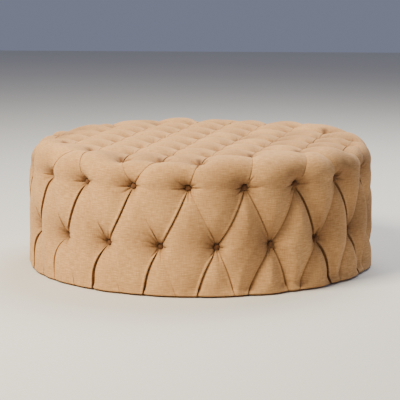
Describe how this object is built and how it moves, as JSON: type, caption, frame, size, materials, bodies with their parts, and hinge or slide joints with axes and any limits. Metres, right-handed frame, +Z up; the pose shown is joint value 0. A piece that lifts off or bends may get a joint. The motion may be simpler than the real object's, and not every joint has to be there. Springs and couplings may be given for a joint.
{
  "type": "tufted ottoman coffee table",
  "caption": "low round ottoman used as a coffee table, its linen cover deep-buttoned on the top and round the side, on hidden glides",
  "frame": {"origin": "on the floor plane under the centre of the ottoman, where the glides rest", "axes": "+Z up; the picture looks from -Y, turned 4 degrees towards +X; +X to the right in it"},
  "size_m": [1.168, 1.168, 0.432],
  "materials": {
    "linen": "natural tan slubby linen",
    "foam": "cream polyurethane foam",
    "plywood": "raw plywood",
    "softwood": "raw softwood",
    "twine": "waxed flax twine",
    "steel": "plain zinc-plated",
    "black_cloth": "black non-woven lining",
    "nylon": "moulded black nylon"
  },
  "bodies": {
    "root": {"tufted_cover": "linen", "top_foam": "foam", "side_foam": "foam", "deck": "plywood", "base_ring": "plywood", "side_panel_1": "plywood", "side_panel_2": "plywood", "post_1": "softwood", "post_2": "softwood", "post_3": "softwood", "post_4": "softwood", "post_5": "softwood", "post_6": "softwood", "post_7": "softwood", "post_8": "softwood", "top_buttons": "linen", "top_twine": "twine", "top_toggles": "softwood", "upper_buttons": "linen", "upper_twine": "twine", "upper_toggles": "softwood", "lower_buttons": "linen", "lower_twine": "twine", "lower_toggles": "softwood", "deck_screws": "steel", "base_screws": "steel", "dust_cover": "black_cloth", "dust_cover_staples": "steel", "glide_1": "nylon", "glide_2": "nylon", "glide_3": "nylon", "glide_4": "nylon", "glide_5": "nylon", "glide_6": "nylon", "glide_nails": "steel"}
  },
  "joints": []
}
